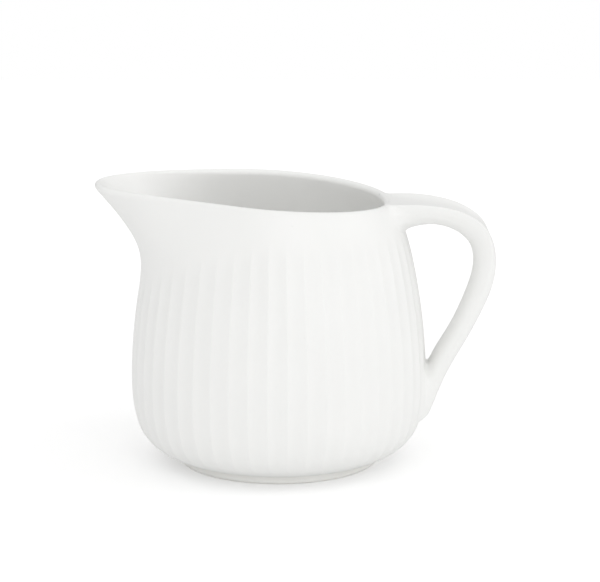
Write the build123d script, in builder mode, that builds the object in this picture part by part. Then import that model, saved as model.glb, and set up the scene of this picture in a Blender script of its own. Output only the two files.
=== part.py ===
"""Porcelain cream jug: a round slip-cast body with a drawn-out pouring lip, and a strap handle.

Millimetres, +Z up.  The origin is the centre of the foot, on the table.
The lip points along -X, the handle along +X, and the jug is symmetric about the XZ plane.
"""
import os
from math import cos, radians, sin

from build123d import *

# Driving dimensions
foot_radius = 33.4          # outside of the foot ring
foot_height = 2.2           # the ring lifts the body this far off the table
foot_width = 3.2
wall = 3.2                  # fired wall, and the thickness of the rim
floor_top = 6.4             # inside floor above the table
floor_corner = 9.0          # radius between the floor and the inside wall
lip_round = 1.1             # rounding of each side of the rim
clear_above = 97.0          # the forms run up to here before the rim is cut
block_reach = 90.0          # half size of the blocks that cut other pieces
channel_clear = 2.0         # how far the channel's cutter stands above the strap

# The rim is level over the lip and falls gently towards the handle.
rim_at_lip = (-63.0, 95.05)
rim_at_middle = (0.0, 92.1)
rim_at_handle = (39.5, 89.0)

# Half of the rim lies on a circle, up to this angle from the handle; the lip is drawn out beyond it.
lip_start = 108.3

# Level sections of the outside: height, radius of the round part, reach of the lip from the axis
outside_sections = [
    (foot_height, 33.6, 33.6),
    (3.5, 37.3, 37.3),
    (5.2, 41.2, 41.2),
    (8.0, 44.7, 44.7),
    (12.0, 47.2, 47.2),
    (18.0, 48.9, 48.9),
    (28.0, 49.5, 49.5),
    (40.0, 49.1, 49.1),
    (52.0, 47.9, 47.9),
    (64.0, 46.1, 46.1),
    (70.0, 44.8, 46.2),
    (76.0, 43.3, 48.1),
    (82.0, 41.5, 51.7),
    (88.0, 39.5, 56.7),
    (clear_above, 36.3, 62.8),
]
lip_full_reach = 24.1       # lip reach beyond the circle at which the rim has its final outline
side_pull_round = 0.431     # pull of the curve that leaves the circle, as a share of the radius
side_pull_lip = 0.427       # added to that share where the lip has its full reach
nose_pull_share = 0.435     # pull of the same curve where it rounds the nose of the lip
floor_outside = 45.0        # radius outside the wall, where the inside floor would meet it

# Centre line of the handle, from the joint at the rim to inside the lower wall
handle_points = [
    (43.6, 84.7),
    (57.5, 82.7),
    (65.6, 77.5),
    (68.8, 67.5),
    (66.6, 57.5),
    (60.6, 45.0),
    (54.6, 33.8),
    (49.8, 22.4),
    (46.0, 12.0),
]
# Sections along that line: share of its length, width, thickness, radius of the two outer corners
handle_sections = [
    (0.00, 23.4, 8.2, 1.2),
    (0.13, 19.4, 7.9, 1.4),
    (0.23, 16.0, 7.8, 2.0),
    (0.32, 13.8, 7.9, 2.8),
    (0.44, 13.0, 8.0, 3.6),
    (0.60, 13.0, 8.1, 3.6),
    (0.75, 14.0, 8.2, 3.6),
    (0.88, 16.0, 8.0, 3.7),
    (1.00, 17.5, 8.0, 3.7),
]
inner_corner = 3.8          # radius of the two corners on the finger side

# The upper joint flares from the handle's first section to the neck wall: distance back, swell
joint_flare = [(0.0, 0.0), (2.4, 0.7), (6.0, 3.0)]
# The lower joint: the arc, seen from the side, that the handle's foot is pressed down to
foot_seat = [(46.6, 5.0), (50.3, 24.0), (49.9, 42.0)]
foot_swell = 1.2            # how far the slip is smoothed out round the handle's foot

# The channel along the top of the strap: share of the centre line, half width, depth
channel_sections = [
    (0.00, 10.2, 1.5),
    (0.12, 8.2, 1.4),
    (0.21, 6.0, 1.0),
    (0.29, 3.4, 0.4),
]
channel_behind = 8.0        # the channel starts this far behind the handle, over the rim
strap_thickness = 8.0       # of the top of the handle, where the channel runs

# The handle's foot is cut off along a blunt facet
facet_outer = (51.2, 14.6)
facet_inner = (45.0, 13.4)


def level_outline(radius, reach):
    """Closed outline of one level section: an arc round the handle side and two curves to the lip."""
    stretch = (reach - radius) / lip_full_reach
    side_pull = radius * (side_pull_round + side_pull_lip * stretch)
    nose_pull = radius * nose_pull_share
    angle = radians(lip_start)
    start = Vector(radius * cos(angle), radius * sin(angle))
    pull = start + Vector(-sin(angle), cos(angle)) * side_pull
    nose = (-reach, nose_pull)
    with BuildLine(mode=Mode.PRIVATE) as outline:
        CenterArc((0, 0), radius, -lip_start, 2 * lip_start)
        Bezier(start, pull, nose, (-reach, 0))
        Bezier((-reach, 0), (-reach, -nose_pull), (pull.X, -pull.Y), (start.X, -start.Y))
    return outline.line


def jug_form():
    """The jug's outside as one solid block."""
    with BuildPart() as form:
        for height, radius, reach in outside_sections:
            with BuildSketch(Plane.XY.offset(height)):
                add(level_outline(radius, reach))
                make_face()
        loft()
    return form.part


def cavity_form():
    """The space inside the jug, with a rounded corner round its floor."""
    sections = [(h, r, t) for h, r, t in outside_sections if h > floor_top + floor_corner / 2]
    with BuildPart() as form:
        with BuildSketch(Plane.XY.offset(floor_top)):
            add(level_outline(floor_outside - wall, floor_outside - wall))
            make_face()
        for height, radius, reach in sections:
            with BuildSketch(Plane.XY.offset(height)):
                add(level_outline(radius - wall, reach - wall))
                make_face()
        loft()
        floor_edges = form.faces().sort_by(Axis.Z)[0].edges()
        fillet(floor_edges, floor_corner)
    return form.part


def handle_line():
    """The handle's centre line, level where it leaves the rim."""
    with BuildLine(Plane.XZ, mode=Mode.PRIVATE) as centre_line:
        Spline(*handle_points, tangents=((1, 0), (-0.34, -0.94)))
    return centre_line.line


def strap_section(plane, width, thickness, outer_corner, swell=0):
    """One section of the strap: nearly flat outside, well rounded on the finger side."""
    with BuildSketch(plane, mode=Mode.PRIVATE) as section:
        Rectangle(width + 2 * swell, thickness + 2 * swell)
        fillet(section.vertices().group_by(Axis.Y)[0], inner_corner + swell)
        fillet(section.vertices().group_by(Axis.Y)[-1], outer_corner + swell)
    return section.sketch


def handle_form(swell):
    """The strap handle from the upper joint to inside the lower wall, made thicker by swell."""
    line = handle_line()
    with BuildPart() as form:
        sections = []
        for share, width, thickness, outer_corner in handle_sections:
            plane = Plane(origin=line @ share, x_dir=(0, 1, 0), z_dir=line % share)
            sections.append(strap_section(plane, width, thickness, outer_corner, swell))
        loft(sections)
    return form.part


def strap_channel():
    """Cutter for the shallow channel that runs out of the rim along the top of the strap."""
    line = handle_line()
    edge = strap_thickness / 2
    start = Vector(handle_points[0][0] - channel_behind, 0, handle_points[0][1])
    planes = [Plane(origin=start, x_dir=(0, 1, 0), z_dir=(1, 0, 0))]
    planes += [Plane(origin=line @ s, x_dir=(0, 1, 0), z_dir=line % s) for s, _, _ in channel_sections]
    shapes = [channel_sections[0]] + channel_sections
    with BuildPart() as form:
        for plane, (_, half_width, depth) in zip(planes, shapes):
            with BuildSketch(plane):
                with BuildLine():
                    ThreePointArc((-half_width, edge), (0, edge - depth), (half_width, edge))
                    Polyline(
                        (half_width, edge),
                        (half_width, edge + channel_clear),
                        (-half_width, edge + channel_clear),
                        (-half_width, edge),
                    )
                make_face()
        loft()
    return form.part


def inside_foot_seat():
    """Everything on the body's side of the arc that the handle's foot is pressed down to."""
    with BuildPart() as block:
        with BuildSketch(Plane.XZ):
            with BuildLine():
                ThreePointArc(*foot_seat)
                Polyline(foot_seat[2], (0, foot_seat[2][1]), (0, foot_seat[0][1]), foot_seat[0])
            make_face()
        extrude(amount=block_reach, both=True)
    return block.part


def above_rim():
    """Everything above the rim line, to cut the rim with."""
    with BuildPart() as block:
        with BuildSketch(Plane.XZ):
            with BuildLine():
                rim = ThreePointArc(rim_at_lip, rim_at_middle, rim_at_handle)
                Polyline(
                    rim_at_handle,
                    (block_reach, rim_at_handle[1]),
                    (block_reach, clear_above + 1),
                    (-block_reach, clear_above + 1),
                    (-block_reach, rim_at_lip[1]),
                    rim_at_lip,
                )
            make_face()
        extrude(amount=block_reach, both=True)
    return block.part


def below_facet():
    """Everything below and outside the blunt facet that ends the handle's foot."""
    with BuildPart() as block:
        with BuildSketch(Plane.XZ):
            with BuildLine():
                Polyline(
                    facet_inner,
                    facet_outer,
                    (block_reach, facet_outer[1]),
                    (block_reach, 0),
                    (facet_inner[0], 0),
                    close=True,
                )
            make_face()
        extrude(amount=block_reach, both=True)
    return block.part


outside = jug_form()
channel = strap_channel()

# Foot ring: a low turned ring, left unglazed where the jug stands
with BuildPart() as foot_ring:
    with BuildSketch(Plane.XZ):
        with Locations((foot_radius - foot_width / 2, foot_height / 2)):
            Rectangle(foot_width, foot_height)
    revolve(axis=Axis.Z)
    ground_face = foot_ring.faces().sort_by(Axis.Z)[0]
    fillet(ground_face.edges(), 0.5)
foot_ring.part.label = "foot_ring"

# Body: the cast shell with its lip and floor, cut along the rim line and rounded there
with BuildPart() as jug_body:
    add(outside)
    add(cavity_form(), mode=Mode.SUBTRACT)
    add(above_rim(), mode=Mode.SUBTRACT)
    rim_edges = jug_body.edges().filter_by(lambda edge: edge.center().Z > rim_at_handle[1] - 2)
    fillet(rim_edges, lip_round)
jug_body.part.label = "jug_body"

# Upper joint: slip and clay smoothed into a flare between the handle and the neck, level with the rim
with BuildPart() as upper_handle_joint:
    flare_sections = []
    for behind, swell in joint_flare:
        plane = Plane(
            origin=(handle_points[0][0] - behind, 0, handle_points[0][1]), x_dir=(0, 1, 0), z_dir=(1, 0, 0)
        )
        flare_sections.append(strap_section(plane, *handle_sections[0][1:], swell))
    loft(flare_sections)
    add(outside, mode=Mode.SUBTRACT)
    add(channel, mode=Mode.SUBTRACT)
    add(above_rim(), mode=Mode.SUBTRACT)
upper_handle_joint.part.label = "upper_handle_joint"

# Lower joint: the bed of slip between the handle's straight foot and the round wall
with BuildPart() as lower_handle_joint:
    add(handle_form(foot_swell))
    add(inside_foot_seat(), mode=Mode.INTERSECT)
    add(outside, mode=Mode.SUBTRACT)
    add(below_facet(), mode=Mode.SUBTRACT)
lower_handle_joint.part.label = "lower_handle_joint"

# Handle: cast on its own, channelled on top, its foot cut off along the facet
with BuildPart() as handle:
    add(handle_form(0))
    add(inside_foot_seat(), mode=Mode.SUBTRACT)
    add(channel, mode=Mode.SUBTRACT)
    add(above_rim(), mode=Mode.SUBTRACT)
    add(below_facet(), mode=Mode.SUBTRACT)
handle.part.label = "handle"

os.makedirs("parts", exist_ok=True)
for piece in (jug_body, foot_ring, handle, upper_handle_joint, lower_handle_joint):
    export_step(piece.part, "parts/" + piece.part.label + ".step")
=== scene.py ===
"""Porcelain cream jug: fluted body with a drawn-out lip, strap handle, luted joints and foot ring.

Metres, +Z up, the jug standing on z = 0 with its lip along -X and its handle along +X.
"""

from math import pi, radians, tau

import bpy
import numpy as np
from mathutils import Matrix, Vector
from mathutils.bvhtree import BVHTree


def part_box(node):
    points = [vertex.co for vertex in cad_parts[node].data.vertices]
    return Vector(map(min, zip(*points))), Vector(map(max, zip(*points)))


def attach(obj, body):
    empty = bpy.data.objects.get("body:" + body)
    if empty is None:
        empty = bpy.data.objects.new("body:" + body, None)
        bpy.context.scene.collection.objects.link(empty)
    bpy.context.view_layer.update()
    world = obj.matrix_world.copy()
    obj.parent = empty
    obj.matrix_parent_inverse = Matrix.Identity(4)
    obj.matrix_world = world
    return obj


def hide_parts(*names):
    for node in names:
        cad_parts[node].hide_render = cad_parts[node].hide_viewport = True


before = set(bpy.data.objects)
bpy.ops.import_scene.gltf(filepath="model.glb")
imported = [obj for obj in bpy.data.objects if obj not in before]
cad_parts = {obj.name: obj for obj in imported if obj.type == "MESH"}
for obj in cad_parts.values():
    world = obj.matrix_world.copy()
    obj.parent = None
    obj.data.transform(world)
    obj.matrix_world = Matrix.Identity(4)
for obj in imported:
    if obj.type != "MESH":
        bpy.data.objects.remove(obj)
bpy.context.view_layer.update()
MM = 0.001

# ---------------------------------------------------------------------------------------------
# Body
# One slip-cast shell of white porcelain: floor, fluted wall, smooth neck and drawn-out lip come
# from one plaster mould. It is dipped in a clear white glaze that softens every edge.
# ---------------------------------------------------------------------------------------------

body_low, body_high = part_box("jug_body")
belly = body_high.y / MM            # radius of the widest part
lip_tip = -body_low.x / MM          # reach of the pouring lip
jug_top = body_high.z / MM          # height of the rim over the lip

# The wall from the foot to the rim, on the handle side: radius, height (mm)
wall_line = [
    (33.8, 2.6), (37.4, 3.7), (41.1, 5.5), (44.5, 8.3), (47.1, 12.4), (48.8, 18.4), (belly, 28.0),
    (49.1, 40.0), (47.9, 52.0), (46.0, 64.0), (43.7, 74.5), (41.1, 82.5), (38.7, 87.9),
]
# The underside of the lip along the jug's middle plane: reach, height (mm)
lip_line = [
    (47.35, 56.0), (46.7, 60.0), (46.15, 65.0), (46.2, 69.7), (47.7, 75.2), (50.8, 80.6),
    (54.0, 85.0), (57.4, 89.1), (lip_tip - 0.9, 93.1),
]
lip_start = (57, 63)                # heights over which the wall begins to lean out to the lip
neck_start = 58.0                   # below this height the wall is round and the same all round
wall_thickness = 3.2                # of the lower wall
thinning = (40, 85)                 # heights between which the wall thins to the rim
rim_half = 1.5                      # half the thickness of the rim
tip_half = 1.15                     # the same at the tip of the lip
tip_spread = (34, 4)                # degrees from the lip between which the rim thins to that
rim_radius = 37.3                   # middle of the rim on its round part
lip_angle = 108.3                   # from the handle, where the rim leaves that circle
lip_pull = (-42.1, 25.3)            # the two points that draw the rim's plan out to the lip
nose_pull = 16.3
lip_clearance = 0.3                 # how far the lip stays inside its solid

# Height of the rim: at the axis, its fall towards the handle, and its bow
rim_level, rim_fall, rim_bow = 92.1, 0.0705, 0.000376
drawn_height = 95.04                # the jug's height that those figures were drawn for
rim_dip = (0.5, 13)                 # dip at the root of the handle, and degrees it spreads over
rim_draw_in = (0.7, 18)             # how far the rim is drawn in there, and degrees it spreads over
lean_at_handle, lean_gain = -0.42, 1.24     # outward lean of the wall's top, and its gain to the tip

# The inside floor from the wall in, and the underside from the axis out: radius, height (mm)
floor_rows = [(33.5, 6.35), (30.0, 6.2), (26.0, 6.1), (18.0, 6.0), (10.0, 5.95), (4.0, 5.95)]
base_rows = [(4.0, 3.3), (10.0, 3.3), (18.0, 3.2), (26.0, 3.0), (29.5, 2.7), (31.5, 2.35)]
full_floor = 2                      # floor rows, from the wall in, with a point for every column
full_base = 4                       # base rows from this one out have them too

# Flutes: shallow hollows side by side that meet in fine raised edges
flute_count = 48
flute_depth = 0.36
flute_spots = np.array([0, 0.05, 0.13, 0.24, 0.37, 0.5, 0.63, 0.76, 0.87, 0.95])
flute_foot = (5.2, 8.6)             # heights between which the flutes run out above the foot
flute_fade = 9.0                    # length over which they run out at the top
# Where they have run out at the top: degrees from the lip, height (mm)
flute_tops = [(0, 64.5), (25, 67.0), (42, 73.5), (58, 79.5), (80, 83.0), (110, 84.0), (180, 81.0)]
even_glaze = 0.5                    # share of the pooled glaze's colour on the plain outside; the inside keeps none, so it is painted paler, painted light inside the jug
flute_glaze = 0.12                  # how much more of it there is at the bottom of a flute


def curve_through(points, spots):
    """The smooth curve through points, read at spots from 0 to 1 along its length."""
    points = np.array(points, float)
    along = np.r_[0, np.cumsum(np.linalg.norm(np.diff(points[:, :2], axis=0), axis=1))]
    along /= along[-1]
    gap = np.diff(along)
    count = len(points)
    system = np.eye(count)
    change = np.zeros_like(points)
    for i in range(1, count - 1):
        system[i, i - 1:i + 2] = gap[i - 1], 2 * (gap[i - 1] + gap[i]), gap[i]
        change[i] = 6 * (
            (points[i + 1] - points[i]) / gap[i] - (points[i] - points[i - 1]) / gap[i - 1]
        )
    bend = np.linalg.solve(system, change)
    spots = np.clip(np.asarray(spots, float), 0, 1)
    i = np.clip(np.searchsorted(along, spots, side="right") - 1, 0, count - 2)
    width = gap[i][:, None]
    near = ((spots - along[i]) / gap[i])[:, None]
    far = 1 - near
    curve = far * points[i] + near * points[i + 1]
    return curve + width**2 / 6 * ((far**3 - far) * bend[i] + (near**3 - near) * bend[i + 1])


def ease(low, high, value):
    """0 below low, 1 above high, and a smooth step between them."""
    share = np.clip((np.asarray(value, float) - low) / (high - low), 0, 1)
    return share * share * (3 - 2 * share)


def unit(vectors):
    """The same directions with a length of 1."""
    return vectors / np.linalg.norm(vectors, axis=-1, keepdims=True)


# Columns run up the wall, one on each raised edge and nine across each flute.
flute_share = np.tile(flute_spots, flute_count)
angles = (np.repeat(np.arange(flute_count), len(flute_spots)) + 0.5 + flute_share) * tau / flute_count
columns = len(angles)
from_handle = np.degrees(np.abs((angles + pi) % tau - pi))
from_lip = 180 - from_handle

# Plan of the rim: a circle, drawn out to the lip by a Bezier curve on each side
corner = rim_radius * np.array([np.cos(radians(lip_angle)), np.sin(radians(lip_angle))])
rim_reach = lip_tip - tip_half - lip_clearance
pulls = np.array([corner, lip_pull, (-rim_reach, nose_pull), (-rim_reach, 0)])
share = np.linspace(0, 1, 200)[:, None]
plan = ((1 - share)**3 * pulls[0] + 3 * share * (1 - share)**2 * pulls[1]
        + 3 * share**2 * (1 - share) * pulls[2] + share**3 * pulls[3])
plan_angle = np.degrees(np.arctan2(plan[:, 1], plan[:, 0]))
rim_plan = np.interp(from_handle, plan_angle, np.linalg.norm(plan, axis=1), left=rim_radius)
rim_plan = rim_plan - rim_draw_in[0] * np.exp(-(from_handle / rim_draw_in[1])**2)
drawn = (rim_plan - rim_radius) / (rim_reach - rim_radius)      # 0 on the circle, 1 at the tip

# Height of the rim round the jug, and where the wall stops below its rounded edge
rim_x = rim_plan * np.cos(angles)
rim_height = rim_level - rim_fall * rim_x - rim_bow * rim_x**2 + jug_top - drawn_height
rim_height -= rim_dip[0] * np.exp(-(from_handle / rim_dip[1])**2)
half = rim_half + (tip_half - rim_half) * ease(*tip_spread, from_lip)
top_slope = lean_at_handle + lean_gain * drawn
lean = np.sqrt(1 + top_slope**2)
wall_end = rim_height - half - half * top_slope / lean

# Rows run round the wall. The wall line is read once, and each column stretches it to its own rim.
rows = 132
wall_curve = curve_through(wall_line, np.linspace(0, 1, rows))
radius0, height0 = wall_curve[:, 0], wall_curve[:, 1]
stretch = (np.clip(height0 - neck_start, 0, None) / (height0[-1] - neck_start))**2
heights = height0[:, None] + (wall_end[None] - height0[-1]) * stretch[:, None]
lip_curve = curve_through(lip_line, np.linspace(0, 1, 400))
lip_column = np.argmin(from_lip)
lip_extra = np.interp(heights[:, lip_column], lip_curve[:, 1], lip_curve[:, 0]) - radius0
lip_extra = np.clip(lip_extra, 0, None) * ease(*lip_start, heights[:, lip_column])
radii = radius0[:, None] + lip_extra[:, None] * drawn[None]

# Outward direction of the wall in each column's own upright plane
run = np.gradient(radii, axis=0)
rise = np.gradient(heights, axis=0)
out_r = rise / np.hypot(run, rise)
out_z = -run / np.hypot(run, rise)

# Hollow the flutes. Part of each hollow is a plain arc and part a softer wave, so the raised edges
# between them are fine but not sharp.
top_of_flutes = np.interp(from_lip, *np.array(flute_tops).T)
depth = flute_depth * ease(*flute_foot, heights)
depth = depth * (1 - ease(0, 1, (heights - top_of_flutes + flute_fade) / flute_fade))
hollow = 3 * flute_share * (1 - flute_share) + 0.25 * np.sin(pi * flute_share)**2
cut = depth * hollow
outer = np.stack([radii - cut * out_r, heights - cut * out_z], -1)

# Round the rim over from the outside to the inside
end = np.stack([radii[-1], heights[-1]], -1)
out_end = np.stack([out_r[-1], out_z[-1]], -1)
up_end = np.stack([-out_z[-1], out_r[-1]], -1)
middle = end - half[:, None] * out_end
rim_turn = np.linspace(0, pi, 12)[1:-1]
rim_rows = [middle + half[:, None] * (np.cos(a) * out_end + np.sin(a) * up_end) for a in rim_turn]

# The inside follows the outside one wall's thickness in, without the flutes
thickness = 2 * half[None] + (wall_thickness - 2 * half[None]) * (1 - ease(*thinning, heights))
inner = np.stack([radii - thickness * out_r, heights - thickness * out_z], -1)
inner_step = 3                      # the plain inside needs only every third row
inner_rows = [inner[j] for j in range(rows - 1, 1, -inner_step)]

full_rows = [np.tile(row, (columns, 1)) for row in base_rows[full_base:]]
first_wall_row = len(full_rows)
full_rows += list(outer) + rim_rows + inner_rows
full_rows += [np.tile(row, (columns, 1)) for row in floor_rows[:full_floor]]


def ring_points(row, at):
    """Turns radius and height, one pair for each angle, into points in metres."""
    row = np.asarray(row, float)
    return np.stack([row[:, 0] * np.cos(at), row[:, 0] * np.sin(at), row[:, 1]], -1) * MM


def band_faces(first, second, count):
    """Quads between two closed rings of count points that start at these indices."""
    return [
        (first + i, first + (i + 1) % count, second + (i + 1) % count, second + i)
        for i in range(count)
    ]


def fan_faces(outer_start, inner_start, groups, share_count):
    """Joins a ring to one with fewer points, share_count of its points to each of theirs."""
    faces = []
    total = groups * share_count
    for g in range(groups):
        a, b = inner_start + g, inner_start + (g + 1) % groups
        for i in range(share_count):
            p = outer_start + g * share_count + i
            q = outer_start + (g * share_count + i + 1) % total
            if i == share_count // 2:
                faces.append((a, p, b))
            faces.append((a if i < share_count // 2 else b, p, q))
    return faces


def flip(faces):
    """The same faces turned to look the other way."""
    return [tuple(reversed(f)) for f in faces]


def make_piece(name, points, faces, pooling=None):
    """A smooth-shaded mesh object, with how deep the glaze lies on it, or a painted paler tone, as a
    point attribute.
    """
    mesh = bpy.data.meshes.new(name)
    mesh.from_pydata([tuple(p) for p in points], [], faces)
    mesh.update()
    mesh.polygons.foreach_set("use_smooth", [True] * len(mesh.polygons))
    layer = mesh.attributes.new("pooling", "FLOAT", "POINT")
    if pooling is None:
        pooling = np.full(len(points), even_glaze)
    layer.data.foreach_set("value", np.asarray(pooling, np.float32))
    piece = bpy.data.objects.new(name, mesh)
    bpy.context.scene.collection.objects.link(piece)
    return piece


# Under the foot and on the floor the rings close in with fewer points
few = np.arange(flute_count) * tau / flute_count + 0.5 * tau / flute_count
points, faces, starts = [], [], []
for row in full_rows:
    starts.append(len(points))
    points += list(ring_points(row, angles))
for first, second in zip(starts, starts[1:]):
    faces += band_faces(first, second, columns)
# Only the outside wall and the rim get pooled colour. The inside, its floor and the underside keep
# none and are paler: on the inside this is painted light.
pooling = np.zeros(len(points))
first_rim_row = first_wall_row + rows
wall_part = slice(starts[first_wall_row], starts[first_rim_row])
pooling[wall_part] = (even_glaze + flute_glaze * hollow * depth / flute_depth).ravel()
rim_part = slice(starts[first_rim_row], starts[first_rim_row + len(rim_rows)])
pooling[rim_part] = np.repeat(np.linspace(even_glaze, 0, len(rim_rows)), columns)
for edge, disc_rows, turned in (
    (starts[0], base_rows[full_base - 1::-1], True), (starts[-1], floor_rows[full_floor:], False),
):
    disc_starts = []
    disc_faces = []
    for radius, height in disc_rows:
        disc_starts.append(len(points))
        points += list(ring_points([(radius, height)] * flute_count, few))
    disc_faces += fan_faces(edge, disc_starts[0], flute_count, len(flute_spots))
    for first, second in zip(disc_starts, disc_starts[1:]):
        disc_faces += band_faces(first, second, flute_count)
    centre = len(points)
    points.append(np.array([0, 0, disc_rows[-1][1] * MM]))
    disc_faces += [
        (disc_starts[-1] + i, disc_starts[-1] + (i + 1) % flute_count, centre)
        for i in range(flute_count)
    ]
    faces += flip(disc_faces) if turned else disc_faces
pooling = np.r_[pooling, np.zeros(len(points) - len(pooling))]
body = make_piece("glazed_body", points, faces, pooling)


# Glaze: clear satin glaze over white clay. It lies a little thicker, so slightly greyer, in each
# flute, thins to a paler line on the raised edges, and has faint ripples and tiny pinholes.
ripple_share = 0.35                 # how much the ripples change the depth of the glaze
pit_edges = (0.21, 0.28)            # noise values between which a pinhole begins
pit_tone = 0.965                    # brightness at the bottom of a pinhole
pit_height = 0.6                    # height of a pinhole beside that of a ripple


def glaze_wash():
    """Node group: the colour, roughness and height of a dipped glaze."""
    group = bpy.data.node_groups.new("glaze_wash", "ShaderNodeTree")
    for name, kind, value in (
        ("Thin Colour", "NodeSocketColor", (1, 1, 1, 1)),
        ("Pooled Colour", "NodeSocketColor", (1, 1, 1, 1)),
        ("Pooling", "NodeSocketFloat", 0.0), ("Ripple Scale", "NodeSocketFloat", 60.0),
        ("Speck Scale", "NodeSocketFloat", 900.0), ("Gloss Low", "NodeSocketFloat", 0.3),
        ("Gloss High", "NodeSocketFloat", 0.4),
    ):
        group.interface.new_socket(name, in_out="INPUT", socket_type=kind).default_value = value
    for name, kind in (
        ("Colour", "NodeSocketColor"), ("Roughness", "NodeSocketFloat"), ("Height", "NodeSocketFloat"),
    ):
        group.interface.new_socket(name, in_out="OUTPUT", socket_type=kind)
    new, link = group.nodes.new, group.links.new
    given, made = new("NodeGroupInput"), new("NodeGroupOutput")
    place = new("ShaderNodeTexCoord")
    ripple, speck = new("ShaderNodeTexNoise"), new("ShaderNodeTexNoise")
    for noise, scale in ((ripple, "Ripple Scale"), (speck, "Speck Scale")):
        link(place.outputs["Object"], noise.inputs["Vector"])
        link(given.outputs[scale], noise.inputs["Scale"])
    ripple.inputs["Detail"].default_value = 3
    speck.inputs["Detail"].default_value = 1
    pooled = new("ShaderNodeMath")
    pooled.operation = "MULTIPLY_ADD"
    pooled.use_clamp = True
    link(ripple.outputs["Fac"], pooled.inputs[0])
    pooled.inputs[1].default_value = ripple_share
    link(given.outputs["Pooling"], pooled.inputs[2])
    tone = new("ShaderNodeMix")
    tone.data_type = "RGBA"
    link(pooled.outputs[0], tone.inputs["Factor"])
    link(given.outputs["Thin Colour"], tone.inputs["A"])
    link(given.outputs["Pooled Colour"], tone.inputs["B"])
    pits = new("ShaderNodeMapRange")
    pits.inputs["From Min"].default_value = pit_edges[0]
    pits.inputs["From Max"].default_value = pit_edges[1]
    pits.inputs["To Min"].default_value = pit_tone
    pits.inputs["To Max"].default_value = 1.0
    link(speck.outputs["Fac"], pits.inputs["Value"])
    dotted = new("ShaderNodeVectorMath")
    dotted.operation = "SCALE"
    link(tone.outputs["Result"], dotted.inputs[0])
    link(pits.outputs["Result"], dotted.inputs["Scale"])
    gloss = new("ShaderNodeMapRange")
    link(pooled.outputs[0], gloss.inputs["Value"])
    link(given.outputs["Gloss Low"], gloss.inputs["To Min"])
    link(given.outputs["Gloss High"], gloss.inputs["To Max"])
    level = new("ShaderNodeMath")
    level.operation = "MULTIPLY_ADD"
    link(pits.outputs["Result"], level.inputs[0])
    level.inputs[1].default_value = pit_height
    link(ripple.outputs["Fac"], level.inputs[2])
    link(dotted.outputs["Vector"], made.inputs["Colour"])
    link(gloss.outputs["Result"], made.inputs["Roughness"])
    link(level.outputs[0], made.inputs["Height"])
    return group


def finish_material(name, group, values, coat, ripple_height):
    """A material whose colour, roughness and bump come from a glaze group set to these values."""
    material = bpy.data.materials.new(name)
    material.use_nodes = True
    nodes, link = material.node_tree.nodes, material.node_tree.links.new
    surface = nodes["Principled BSDF"]
    wash = nodes.new("ShaderNodeGroup")
    wash.node_tree = group
    for socket, value in values.items():
        wash.inputs[socket].default_value = value
    depth_read = nodes.new("ShaderNodeAttribute")
    depth_read.attribute_name = "pooling"
    link(depth_read.outputs["Fac"], wash.inputs["Pooling"])
    bump = nodes.new("ShaderNodeBump")
    bump.inputs["Strength"].default_value = 0.5
    bump.inputs["Distance"].default_value = ripple_height
    link(wash.outputs["Height"], bump.inputs["Height"])
    link(bump.outputs["Normal"], surface.inputs["Normal"])
    link(wash.outputs["Colour"], surface.inputs["Base Color"])
    link(wash.outputs["Roughness"], surface.inputs["Roughness"])
    surface.inputs["IOR"].default_value = 1.5
    surface.inputs["Coat Weight"].default_value = coat
    surface.inputs["Coat Roughness"].default_value = 0.25
    return material


glaze_group = glaze_wash()
satin_glaze = finish_material(
    "satin_white_glaze", glaze_group,
    {"Thin Colour": (0.965, 0.965, 0.95, 1), "Pooled Colour": (0.868, 0.87, 0.855, 1),
     "Ripple Scale": 55, "Speck Scale": 1400, "Gloss Low": 0.38, "Gloss High": 0.5},
    coat=0.1, ripple_height=0.00004,
)
body.data.materials.append(satin_glaze)
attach(body, "root")
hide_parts("jug_body")

# ---------------------------------------------------------------------------------------------
# Handle
# A strap of the same clay, pressed in its own mould. Its top is a shallow channel that runs out
# of the rim between two raised edges; these close up at the bend, and below it the strap is oval.
# ---------------------------------------------------------------------------------------------

handle_inset = 0.25                 # how far the handle stays inside its solid
handle_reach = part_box("handle")[1].x / MM - handle_inset

# Down the strap (mm): outer edge x, z; finger side x, z; half width; channel depth; crown
handle_stations = [
    (37.3, 88.95, 40.6, 77.6, 11.3, 0.6, 0.0),
    (43.6, 89.10, 43.9, 79.6, 11.1, 1.3, 0.0),
    (49.9, 88.75, 49.2, 80.7, 10.5, 1.5, 0.0),
    (54.7, 88.00, 52.9, 80.55, 9.8, 1.45, 0.0),
    (59.7, 86.65, 56.8, 79.5, 9.0, 1.3, 0.0),
    (64.6, 84.30, 60.2, 77.7, 8.3, 1.2, 0.0),
    (68.8, 80.70, 63.0, 75.1, 7.6, 0.8, 0.1),
    (71.3, 76.30, 64.4, 72.3, 7.0, 0.3, 0.8),
    (handle_reach, 70.70, 65.0, 68.8, 6.6, 0.0, 1.9),
    (handle_reach, 64.50, 64.7, 64.9, 6.5, 0.0, 2.7),
    (70.9, 57.50, 63.4, 60.0, 6.5, 0.0, 3.2),
    (67.9, 50.50, 60.9, 53.5, 6.5, 0.0, 3.4),
    (62.95, 41.00, 56.4, 44.3, 6.6, 0.0, 3.4),
    (58.85, 33.90, 52.2, 37.2, 6.8, 0.0, 3.6),
    (55.6, 27.40, 49.1, 30.2, 7.2, 0.0, 4.1),
    (53.4, 22.10, 47.0, 23.6, 7.4, 0.0, 4.5),
    (51.3, 16.80, 45.8, 13.8, 7.3, 0.0, 4.6),
]
strap_roundness = 2.4               # 2 makes the finger side an ellipse, more makes it squarer
strap_rings = 150
top_count, side_count = 40, 88      # points across the top, and round the sides and finger side
top_crowding, side_crowding = 0.7, 0.6      # how closely those points crowd to the raised edges
rim_follow = (37, 45)               # reach over which the strap stops following the round rim
channel_flatness = 4                # 2 makes the channel a plain hollow, more a flatter floor
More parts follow.
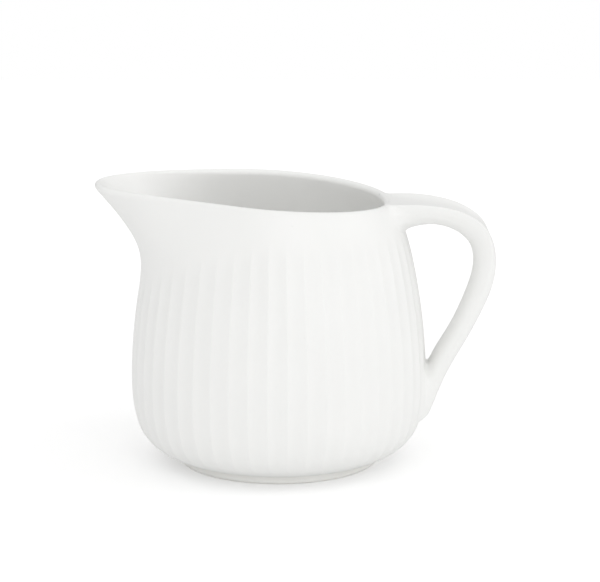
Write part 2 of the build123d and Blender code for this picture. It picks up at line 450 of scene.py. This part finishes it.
edge_softness = 0.36                # how far the glaze softens the raised edges
foot_rounding = 0.8                 # of the edge of the blunt facet that ends the handle
wall_bite = 2.6                     # how far the handle's ends sink into the wall


def spread(line, count, ends):
    """Picks count points along a line, closer together at its two ends."""
    along = np.r_[0, np.cumsum(np.linalg.norm(np.diff(line, axis=0), axis=1))]
    share = np.arange(count) / count
    share = share - ends * np.sin(tau * share) / tau
    return np.stack([np.interp(share * along[-1], along, line[:, i]) for i in (0, 1)], -1)


def strap_ring(thickness, half_width, channel, crown):
    """One closed section of the strap: across its width, and out from the finger side."""
    edge = thickness - crown
    across = np.sin(np.linspace(pi / 2, -pi / 2, 400))
    top = np.stack([
        half_width * across,
        edge - channel * (1 - across**channel_flatness)
        + crown * np.sqrt(np.clip(1 - across**2, 0, None)),
    ], -1)
    turn = np.linspace(pi, tau, 800)
    power = 2 / strap_roundness
    side = np.stack([
        half_width * np.sign(np.cos(turn)) * np.abs(np.cos(turn))**power,
        edge - edge * np.abs(np.sin(turn))**power,
    ], -1)
    ring = np.concatenate([
        spread(top, top_count, top_crowding), spread(side, side_count, side_crowding),
    ])
    gaps = np.linalg.norm(np.roll(ring, -1, axis=0) - ring, axis=1)
    place = np.r_[0, np.cumsum(gaps)[:-1]]
    total = gaps.sum()
    apart = np.abs(place[:, None] - place[None])
    apart = np.minimum(apart, total - apart)
    weight = np.exp(-(apart / edge_softness)**2 / 2) * (gaps + np.roll(gaps, 1))[None]
    return weight @ ring / weight.sum(axis=1, keepdims=True)


strap = curve_through(handle_stations, np.linspace(0, 1, strap_rings))
strap[:, 5:] = np.clip(strap[:, 5:], 0, None)
rings = []
for outer_x, outer_z, finger_x, finger_z, half_width, channel, crown in strap:
    finger = np.array([finger_x, 0, finger_z])
    out = np.array([outer_x - finger_x, 0, outer_z - finger_z])
    thickness = np.linalg.norm(out)
    section = strap_ring(thickness, half_width, channel, crown)
    ring = finger + section[:, 1:] * out / thickness + section[:, :1] * np.array([0, 1, 0])
    round_back = rim_radius - np.sqrt(rim_radius**2 - ring[:, 1]**2)
    ring[:, 0] -= round_back * (1 - ease(*rim_follow, outer_x))
    rings.append(ring)

# Carry the tail on a little, round its edge over, and close in on the facet that ends it
facet_ring = rings[-1]
facet_centre = facet_ring.mean(axis=0)
facet_out = unit(np.array([strap[-1, 1] - strap[-1, 3], 0, strap[-1, 2] - strap[-1, 0]]))
to_centre = unit(facet_centre - facet_ring)
tail = unit(np.array([strap[-1, 0] - strap[-4, 0], 0, strap[-1, 1] - strap[-4, 1]]))
for turn in np.linspace(0, pi / 2, 7)[1:]:
    rings.append(
        facet_ring + foot_rounding * ((1 - np.cos(turn)) * to_centre + np.sin(turn) * tail)
    )
rings.append(facet_centre + foot_rounding * tail + 0.5 * (rings[-1] - rings[-1].mean(axis=0)))

# The ends stay inside the wall and don't come through it
ring_size = top_count + side_count
points = np.concatenate(rings)
reach = np.hypot(points[:, 0], points[:, 1])
least = np.interp(points[:, 2], height0, radius0) - wall_bite
points[:, :2] *= (np.maximum(reach, least) / reach)[:, None]
faces = []
for j in range(len(rings) - 1):
    faces += band_faces(j * ring_size, (j + 1) * ring_size, ring_size)
caps = len(points)
points = np.concatenate([
    points, points[:ring_size].mean(0)[None], points[-ring_size:].mean(0)[None],
])
last = (len(rings) - 1) * ring_size
for i in range(ring_size):
    k = (i + 1) % ring_size
    faces.append((caps, k, i))
    faces.append((caps + 1, last + i, last + k))
handle = make_piece("strap_handle", points * MM, faces)
handle.data.materials.append(satin_glaze)
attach(handle, "root")
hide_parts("handle")

# ---------------------------------------------------------------------------------------------
# Joints
# The handle is stuck on with slip, and the slip and some soft clay are smoothed into the corner
# all round each end. Under the glaze they show only as a soft blend between handle and wall.
# ---------------------------------------------------------------------------------------------

# For each joint: the box it lies in (mm), then pairs of height and blend radius
upper_corner = ((31.0, -23.0, 71.0), (55.0, 23.0, 92.0))
upper_blend = [(78.5, 1.3), (80.5, 3.5), (82.5, 7.5), (85.5, 8.0), (87.5, 4.0), (88.8, 1.5)]
lower_corner = ((38.0, -20.0, 11.0), (58.0, 20.0, 42.0))
lower_blend = [(14, 5.0), (22, 6.0), (28, 5.5), (33, 3.6), (36, 2.6)]
facet_plane = (rings[-1].mean(axis=0), facet_out)       # the slip is cut off flush with the facet
under_strap = ((0, 0, 0), (0, 0, -1))                   # nothing cuts the upper slip
cut_rounding = 2.5                  # how softly the glaze rounds that cut
slip_cell = 0.5                     # spacing of the grid that the slip's surface is found on
slip_key = 1.2                      # how deep the slip keys into the wall and the handle
slip_tuck = 0.015                   # how far its thin edges lie under their surfaces
search_margin = 6                   # how far round its box the surfaces are looked at
outward_only = -0.35                # leaves out the inside of the wall, which looks at the axis
any_direction = -2                  # leaves out nothing


def surface_tree(piece, low, high, least_outward):
    """A search tree of the quads of a piece near a box (mm) that look away from the axis enough."""
    mesh = piece.data
    places = np.empty(len(mesh.vertices) * 3)
    mesh.vertices.foreach_get("co", places)
    places = places.reshape(-1, 3) / MM
    low, high = np.array(low) - search_margin, np.array(high) + search_margin
    near = np.all((places > low) & (places < high), axis=1)
    faces = [
        p.vertices[:] for p in mesh.polygons
        if near[p.vertices[0]] and len(p.vertices) == 4
        and p.normal.xy.dot(p.center.xy.normalized()) > least_outward
    ]
    return BVHTree.FromPolygons([tuple(p) for p in places], faces)


def distances(tree, spots, farthest):
    """Signed distance of each spot from the surface, negative inside, up to the farthest."""
    found = np.full(len(spots), float(farthest))
    for i, spot in enumerate(spots):
        place, normal, _, distance = tree.find_nearest(Vector(spot), farthest)
        if place is not None:
            found[i] = distance if (Vector(spot) - place).dot(normal) > 0 else -distance
    return found


def slip_field(spots, wall_tree, strap_tree, blend, plane):
    """Below zero inside the slip: the corner between wall and strap, rounded by the blend radius."""
    radius = np.interp(spots[:, 2], *np.array(blend).T)
    farthest = max(r for _, r in blend) + 2
    to_wall = distances(wall_tree, spots, farthest)
    near = to_wall < farthest
    to_strap = np.full(len(spots), farthest)
    to_strap[near] = distances(strap_tree, spots[near], farthest)
    share = np.clip(1 - np.abs(to_wall - to_strap) / radius, 0, None)
    blended = np.minimum(to_wall, to_strap) - share**3 * radius / 6 + slip_tuck
    past_cut = (spots - plane[0]) @ np.array(plane[1])
    share = np.clip(1 - np.abs(blended - past_cut) / cut_rounding, 0, None)
    blended = np.maximum(blended, past_cut) + share**3 * cut_rounding / 6
    return np.max([
        blended, -to_wall - slip_key, -to_strap - slip_key, to_wall - radius, to_strap - radius,
    ], axis=0)


def without_pinches(field):
    """Fills the corners of a grid where its surface would meet itself along an edge."""
    field = field.copy()
    steps = np.eye(3, dtype=int)
    for u, v in ((0, 1), (1, 2), (2, 0)) * 3:
        span = np.array(field.shape) - steps[u] - steps[v]
        a, b, c, d = (
            field[tuple(slice(s, s + n) for s, n in zip(start, span))]
            for start in (0 * steps[u], steps[u], steps[u] + steps[v], steps[v])
        )
        crossed = ((a < 0) == (c < 0)) & ((b < 0) == (d < 0)) & ((a < 0) != (b < 0))
        fill_b = crossed & (a < 0)
        fill_a = crossed & (b < 0)
        b[fill_b] = -0.01
        a[fill_a] = -0.01
    return field


def surface_net(field, low, cell):
    """Points and quads of the closed surface where a field on a grid passes through zero."""
    count = np.array(field.shape) - 1
    total, crossings = np.zeros((*count, 3)), np.zeros(tuple(count))
    inside = field < 0

    def part(values, start):
        return values[tuple(slice(s, s + n) for s, n in zip(start, count))]

    for axis in range(3):
        step = np.eye(3, dtype=int)[axis]
        others = [np.eye(3, dtype=int)[o] for o in range(3) if o != axis]
        for shift in (0 * step, others[0], others[1], others[0] + others[1]):
            a, b = part(field, shift), part(field, shift + step)
            crossed = (a < 0) != (b < 0)
            along = np.where(crossed, a / np.where(crossed, a - b, 1), 0)
            total += crossed[..., None] * (shift + along[..., None] * step)
            crossings += crossed
    used = crossings > 0
    number = np.full(tuple(count), -1)
    number[used] = np.arange(used.sum())
    points = low + cell * (np.argwhere(used) + total[used] / crossings[used][:, None])
    quads = []
    for axis in range(3):
        step = np.eye(3, dtype=int)[axis]
        u, v = np.eye(3, dtype=int)[(axis + 1) % 3], np.eye(3, dtype=int)[(axis + 2) % 3]
        for i in np.argwhere(part(inside, 0 * step) != part(inside, step)):
            corners = [number[tuple(i - d)] for d in (0 * u, u, u + v, v)]
            quads.append(tuple(corners if inside[tuple(i)] else reversed(corners)))
    return points, quads


def slip_fillet(name, node, box, blend, plane):
    """The bead of slip round one end of the handle, cut off at a plane."""
    low = np.array(box[0])
    wall_tree = surface_tree(body, *box, outward_only)
    strap_tree = surface_tree(handle, *box, any_direction)
    corner = (wall_tree, strap_tree, blend, plane)
    count = np.rint((np.array(box[1]) - low) / slip_cell).astype(int) + 1
    grid = low + slip_cell * np.stack(np.meshgrid(*map(np.arange, count), indexing="ij"), -1)
    half = count[1] // 2
    right = grid[:, half:]
    values = slip_field(right.reshape(-1, 3), *corner).reshape(right.shape[:3])
    values = without_pinches(np.concatenate([values[:, :0:-1], values], axis=1))
    points, quads = surface_net(values, low, slip_cell)
    nudge = 0.05
    least_slope = 0.25
    for _ in range(2):              # draws the points onto the slip's true surface
        here = slip_field(points, *corner)
        slope = np.stack([
            slip_field(points + nudge * axis, *corner) - here for axis in np.eye(3)
        ], -1) / nudge
        size = np.maximum((slope**2).sum(axis=1), least_slope)
        move = -(here / size)[:, None] * slope
        points += np.clip(move, -slip_cell / 2, slip_cell / 2)
    bead = make_piece(name, points * MM, quads)
    bead.data.materials.append(satin_glaze)
    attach(bead, "root")
    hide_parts(node)


slip_fillet("upper_slip_fillet", "upper_handle_joint", upper_corner, upper_blend, under_strap)
slip_fillet("lower_slip_fillet", "lower_handle_joint", lower_corner, lower_blend, facet_plane)

# ---------------------------------------------------------------------------------------------
# Foot ring
# A low plain ring under the body, turned true, with a soft groove above it. Its outside is
# glazed; the face it stands on is wiped and ground, so the bare clay shows there.
# ---------------------------------------------------------------------------------------------

foot_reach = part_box("foot_ring")[1].x / MM
foot_line = [
    (30.6, 3.0), (30.2, 2.0), (30.2, 1.0), (30.5, 0.3), (31.2, 0.0), (32.5, 0.0), (33.15, 0.12),
    (foot_reach - 0.02, 0.5), (foot_reach - 0.05, 1.3), (33.15, 1.9), (33.0, 2.4), (32.7, 3.0),
]
foot_steps = 240
bare_below = 0.15                   # the ground face lies below this height
foot_curve = curve_through(foot_line, np.linspace(0, 1, 60))
foot_curve[:, 1] = np.clip(foot_curve[:, 1], 0, None)
foot_angles = np.arange(foot_steps) * tau / foot_steps
points, faces = [], []
for row in foot_curve:
    points += list(ring_points([row] * foot_steps, foot_angles))
for j in range(len(foot_curve)):
    following = (j + 1) % len(foot_curve)
    faces += band_faces(j * foot_steps, following * foot_steps, foot_steps)
bare = np.repeat(foot_curve[:, 1] < bare_below, foot_steps)
foot = make_piece("turned_foot_ring", points, faces, bare)
biscuit = finish_material(
    "ground_biscuit", glaze_group,
    {"Thin Colour": (0.965, 0.965, 0.94, 1), "Pooled Colour": (0.83, 0.81, 0.76, 1),
     "Ripple Scale": 55, "Speck Scale": 2500, "Gloss Low": 0.4, "Gloss High": 0.85},
    coat=0.0, ripple_height=0.00004,
)
foot.data.materials.append(biscuit)
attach(foot, "root")
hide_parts("foot_ring")

# ---------------------------------------------------------------------------------------------
# Studio
# A white floor under a white sky, soft light from the front and the right, and a long lens
# looking slightly down on the jug.
# ---------------------------------------------------------------------------------------------

floor_corners = [(-6, -6), (6, -6), (6, 0.9), (-6, 0.9)]
floor_drop = 0.00005                # the floor lies just under the foot, so their faces don't meet
floor_glow_on_jug = 0.05                 # painted light: the floor's own glow as the jug sees it, lighting the jug from below
near_glow, far_glow = 0.18, 0.34    # painted glow the floor gains for the camera alone, less by the jug and more away from it
glow_reach = (0.08, 0.5)            # distances from the jug between which that gain grows
sky_strength = 0.87

mesh = bpy.data.meshes.new("studio_floor")
mesh.from_pydata([(x, y, -floor_drop) for x, y in floor_corners], [], [(0, 1, 2, 3)])
floor = bpy.data.objects.new("studio_floor", mesh)
bpy.context.scene.collection.objects.link(floor)
paper = bpy.data.materials.new("white_paper")
paper.use_nodes = True
paper_surface = paper.node_tree.nodes["Principled BSDF"]
paper_surface.inputs["Base Color"].default_value = (0.9, 0.9, 0.9, 1)
paper_surface.inputs["Roughness"].default_value = 1.0
paper_surface.inputs["Specular IOR Level"].default_value = 0.0
paper_surface.inputs["Emission Color"].default_value = (1, 1, 1, 1)
paper_path = paper.node_tree.nodes.new("ShaderNodeLightPath")
paper_place = paper.node_tree.nodes.new("ShaderNodeTexCoord")
paper_far = paper.node_tree.nodes.new("ShaderNodeVectorMath")
paper_far.operation = "LENGTH"
# Painted glow for the camera only: the floor is brighter away from the jug and dimmer by it
paper_share = paper.node_tree.nodes.new("ShaderNodeMapRange")
paper_share.interpolation_type = "SMOOTHSTEP"
paper_share.inputs["From Min"].default_value = glow_reach[0]
paper_share.inputs["From Max"].default_value = glow_reach[1]
paper_share.inputs["To Min"].default_value = near_glow
paper_share.inputs["To Max"].default_value = far_glow
paper_link = paper.node_tree.links.new
paper_link(paper_place.outputs["Object"], paper_far.inputs[0])
paper_link(paper_far.outputs["Value"], paper_share.inputs["Value"])
# The floor glows: a little for every ray, which is painted light on the jug, and more for the camera
# alone.
paper_glow = paper.node_tree.nodes.new("ShaderNodeMath")
paper_glow.operation = "MULTIPLY_ADD"
paper_glow.inputs[2].default_value = floor_glow_on_jug
paper_link(paper_path.outputs["Is Camera Ray"], paper_glow.inputs[0])
paper_link(paper_share.outputs["Result"], paper_glow.inputs[1])
paper_link(paper_glow.outputs[0], paper_surface.inputs["Emission Strength"])
floor.data.materials.append(paper)

world = bpy.data.worlds.new("white_studio")
bpy.context.scene.world = world
world.use_nodes = True
air = world.node_tree
glow = air.nodes["Background"]
glow.inputs["Color"].default_value = (1, 1, 1, 1)
seen = air.nodes.new("ShaderNodeBackground")
seen.inputs["Color"].default_value = (1, 1, 1, 1)
seen.inputs["Strength"].default_value = 1.0
# The sky is dim low down behind the jug, so that its edges stand out softly
sky_place = air.nodes.new("ShaderNodeTexCoord")
sky_axes = air.nodes.new("ShaderNodeSeparateXYZ")
air.links.new(sky_place.outputs["Generated"], sky_axes.inputs["Vector"])
dimming = []
for axis, low, high, share in (("Y", 0.2, 0.75, 1), ("Z", 0.55, 0.15, 0.5)):
    dim = air.nodes.new("ShaderNodeMapRange")
    dim.interpolation_type = "SMOOTHSTEP"
    dim.inputs["From Min"].default_value = min(low, high)
    dim.inputs["From Max"].default_value = max(low, high)
    dim.inputs["To Min"].default_value = 0 if low < high else share
    dim.inputs["To Max"].default_value = share if low < high else 0
    air.links.new(sky_axes.outputs[axis], dim.inputs["Value"])
    dimming.append(dim.outputs["Result"])
dimmed = air.nodes.new("ShaderNodeMath")
dimmed.operation = "MULTIPLY"
air.links.new(dimming[0], dimmed.inputs[0])
air.links.new(dimming[1], dimmed.inputs[1])
brightness = air.nodes.new("ShaderNodeMath")
brightness.operation = "MULTIPLY_ADD"
brightness.inputs[1].default_value = -sky_strength
brightness.inputs[2].default_value = sky_strength
air.links.new(dimmed.outputs[0], brightness.inputs[0])
air.links.new(brightness.outputs[0], glow.inputs["Strength"])
path = air.nodes.new("ShaderNodeLightPath")
choose = air.nodes.new("ShaderNodeMixShader")
air.links.new(path.outputs["Is Camera Ray"], choose.inputs["Fac"])
air.links.new(glow.outputs["Background"], choose.inputs[1])
air.links.new(seen.outputs["Background"], choose.inputs[2])
air.links.new(choose.outputs["Shader"], air.nodes["World Output"].inputs["Surface"])


def soft_light(name, place, target, size, power):
    """A square soft light at place, turned towards target."""
    lamp = bpy.data.lights.new(name, "AREA")
    lamp.shape = "SQUARE"
    lamp.size = size
    lamp.energy = power
    light = bpy.data.objects.new(name, lamp)
    light.location = place
    light.rotation_euler = (Vector(target) - Vector(place)).to_track_quat("-Z", "Y").to_euler()
    bpy.context.scene.collection.objects.link(light)


jug_middle = (0, 0, 0.05)
soft_light("right_light", (3.0, -0.3, 1.8), jug_middle, 1.4, 9)
soft_light("front_light", (0.9, -3.1, 0.9), jug_middle, 2.4, 16.5)

lens = bpy.data.cameras.new("camera")
lens.lens = 164.06
lens.sensor_width = 36
camera = bpy.data.objects.new("camera", lens)
camera.location = (0.00714, -0.8949, 0.2566)
look_at = Vector((0.00714, 0, 0.05755))
camera.rotation_euler = (look_at - camera.location).to_track_quat("-Z", "Y").to_euler()
bpy.context.scene.collection.objects.link(camera)
bpy.context.scene.camera = camera
bpy.context.scene.view_settings.view_transform = "Standard"
